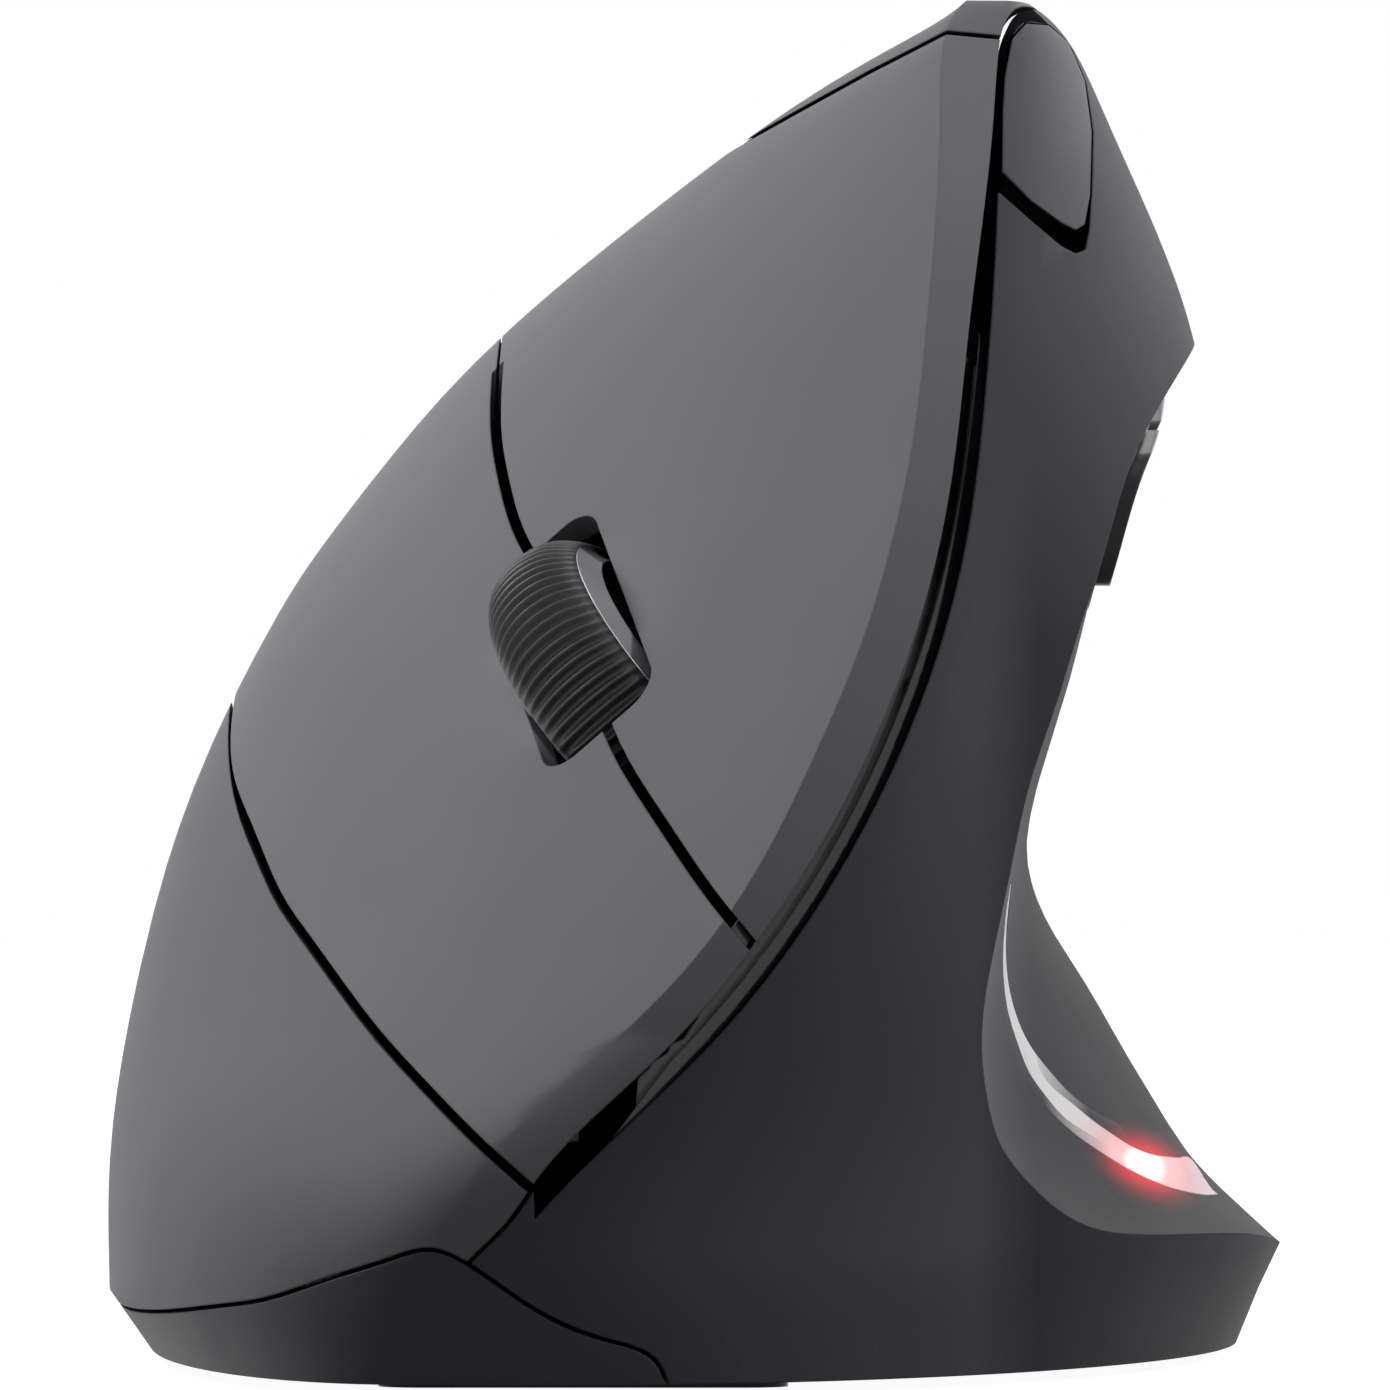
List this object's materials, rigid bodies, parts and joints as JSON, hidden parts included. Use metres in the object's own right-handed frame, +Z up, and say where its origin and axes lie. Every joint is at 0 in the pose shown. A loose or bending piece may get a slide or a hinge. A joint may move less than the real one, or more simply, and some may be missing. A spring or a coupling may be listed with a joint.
{
  "type": "vertical ergonomic mouse",
  "caption": "Tall wireless hand-rest mouse with two finger buttons, a scroll wheel, thumb buttons, a lit thumb scoop and its inner parts.",
  "frame": {"origin": "centre of the bounding box in plan, at the underside of the glide pads", "axes": "+Z up from the desk, +Y from the finger end towards the palm end, +X towards the thumb side"},
  "size_m": [0.0662, 0.1194, 0.076],
  "materials": {
    "graphite_shell": "fine textured dark grey plastic",
    "graphite_base": "fine textured charcoal plastic",
    "satin_button": "satin mid-grey plastic",
    "black_gloss": "glossy black plastic",
    "guide_clear": "milky translucent light guide",
    "tyre_rubber": "dark grey soft rubber with fine cross ribs",
    "hub_chrome": "bright plated plastic",
    "steel": "plain steel",
    "zinc_screw": "blackened steel screw",
    "inner_plastic": "plain black inner plastic",
    "board_green": "green circuit board",
    "switch_black": "black switch case",
    "chip_black": "black chip case",
    "lens_clear": "clear moulded lens",
    "light_clear": "red light emitter",
    "cell_wrap": "plain dark wrapped cell",
    "contact_metal": "nickel-plated strip",
    "pad_slick": "smooth low-friction pad",
    "slider_white": "light grey slider"
  },
  "bodies": {
    "case": {"base_tray": "graphite_base", "palm_shell": "graphite_shell", "thumb_shell": "graphite_shell", "front_trim": "black_gloss", "light_guide": "guide_clear", "thumb_bezel": "black_gloss", "cradle_mount": "inner_plastic", "cradle_pin": "steel", "cradle_leaf": "steel", "hinge_pin": "steel", "button_board": "board_green", "board_frame": "inner_plastic", "left_switch": "switch_black", "right_switch": "switch_black", "wheel_switch": "switch_black", "side_board": "board_green", "forward_switch": "switch_black", "back_switch": "switch_black", "dpi_board": "board_green", "dpi_switch": "switch_black", "main_board": "board_green", "sensor_chip": "chip_black", "sensor_lens": "lens_clear", "status_light": "light_clear", "left_cell": "cell_wrap", "right_cell": "cell_wrap", "receiver_plug": "contact_metal", "receiver_cap": "switch_black", "power_switch": "contact_metal", "bridge_contact": "contact_metal", "left_contact": "contact_metal", "right_contact": "contact_metal", "front_pad": "pad_slick", "left_pad": "pad_slick", "right_pad": "pad_slick", "case_screw_1": "zinc_screw", "case_screw_2": "zinc_screw", "case_screw_3": "zinc_screw", "case_screw_4": "zinc_screw", "board_screw_1": "zinc_screw", "board_screw_2": "zinc_screw", "board_screw_3": "zinc_screw"},
    "left_key": {"left_button": "satin_button"},
    "right_key": {"right_button": "satin_button"},
    "carrier": {"wheel_cradle": "inner_plastic", "scroll_encoder": "switch_black"},
    "wheel": {"wheel_tyre": "tyre_rubber", "wheel_hub": "hub_chrome", "wheel_axle": "steel"},
    "preset_key": {"dpi_button": "satin_button"},
    "forward_key": {"forward_button": "satin_button"},
    "back_key": {"back_button": "satin_button"},
    "slider": {"power_slider": "slider_white"},
    "door": {"battery_door": "graphite_base"}
  },
  "joints": [
    {"name": "left_press", "type": "hinge", "parent": "case", "child": "left_key", "pos_m": [-0.00467, 0.01239, 0.05139], "axis": [0.7391, -0.2169, 0.6378], "range_deg": [0, 0.42], "stiffness_Nm_per_rad": 18, "springref_deg": -0.23},
    {"name": "right_press", "type": "hinge", "parent": "case", "child": "right_key", "pos_m": [-0.00467, 0.01239, 0.05139], "axis": [0.7391, -0.2169, 0.6378], "range_deg": [0, 0.42], "stiffness_Nm_per_rad": 18, "springref_deg": -0.23},
    {"name": "wheel_press", "type": "hinge", "parent": "case", "child": "carrier", "pos_m": [-0.00265, -0.00537, 0.04222], "axis": [0.7391, -0.2169, 0.6378], "range_deg": [0, 2.4], "stiffness_Nm_per_rad": 0.4, "springref_deg": -1.15},
    {"name": "wheel_spin", "type": "hinge", "parent": "carrier", "child": "wheel", "pos_m": [-0.00292, -0.02305, 0.03652], "axis": [0.7391, -0.2169, 0.6378], "continuous": true},
    {"name": "preset_press", "type": "hinge", "parent": "case", "child": "preset_key", "pos_m": [0.0195, 0.0035, 0.074], "axis": [0.687, 0.7267, 0], "range_deg": [0, 1.1], "stiffness_Nm_per_rad": 0.6, "springref_deg": -0.57},
    {"name": "forward_press", "type": "slide", "parent": "case", "child": "forward_key", "axis": [-1, 0, 0], "range_m": [0, 0.0005], "stiffness_N_per_m": 900, "springref_m": -0.0002},
    {"name": "back_press", "type": "slide", "parent": "case", "child": "back_key", "axis": [-1, 0, 0], "range_m": [0, 0.0005], "stiffness_N_per_m": 900, "springref_m": -0.0002},
    {"name": "power_slide", "type": "slide", "parent": "case", "child": "slider", "axis": [1, 0, 0], "range_m": [0, 0.003]},
    {"name": "door_slide", "type": "slide", "parent": "case", "child": "door", "axis": [0, 1, 0], "range_m": [0, 0.0035]}
  ]
}
